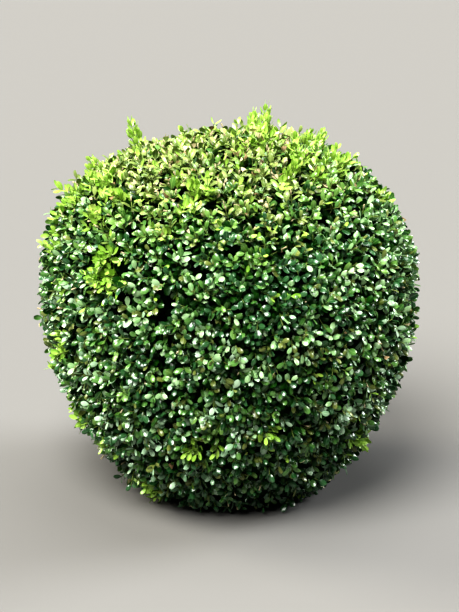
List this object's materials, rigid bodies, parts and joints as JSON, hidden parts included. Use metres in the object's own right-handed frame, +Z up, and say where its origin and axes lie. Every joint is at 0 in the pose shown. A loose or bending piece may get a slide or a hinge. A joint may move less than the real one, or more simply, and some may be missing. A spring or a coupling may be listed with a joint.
{
  "type": "box topiary ball",
  "caption": "Evergreen box shrub clipped to a full-shouldered ball, dense small leaves on a short hidden stem, rooted in level ground.",
  "frame": {"origin": "centre of the flat cut under the stem, at ground level", "axes": "+Z up, -Y towards the viewer of the picture, +X to the viewer's right"},
  "size_m": [0.5755, 0.5717, 0.5849],
  "materials": {
    "bark": "matt furrowed grey-brown bark",
    "foliage": "small glossy leaves, dark green on the sides and yellow-green on top"
  },
  "bodies": {
    "root": {"stem": "bark", "clipped_crown": "foliage"}
  },
  "joints": []
}
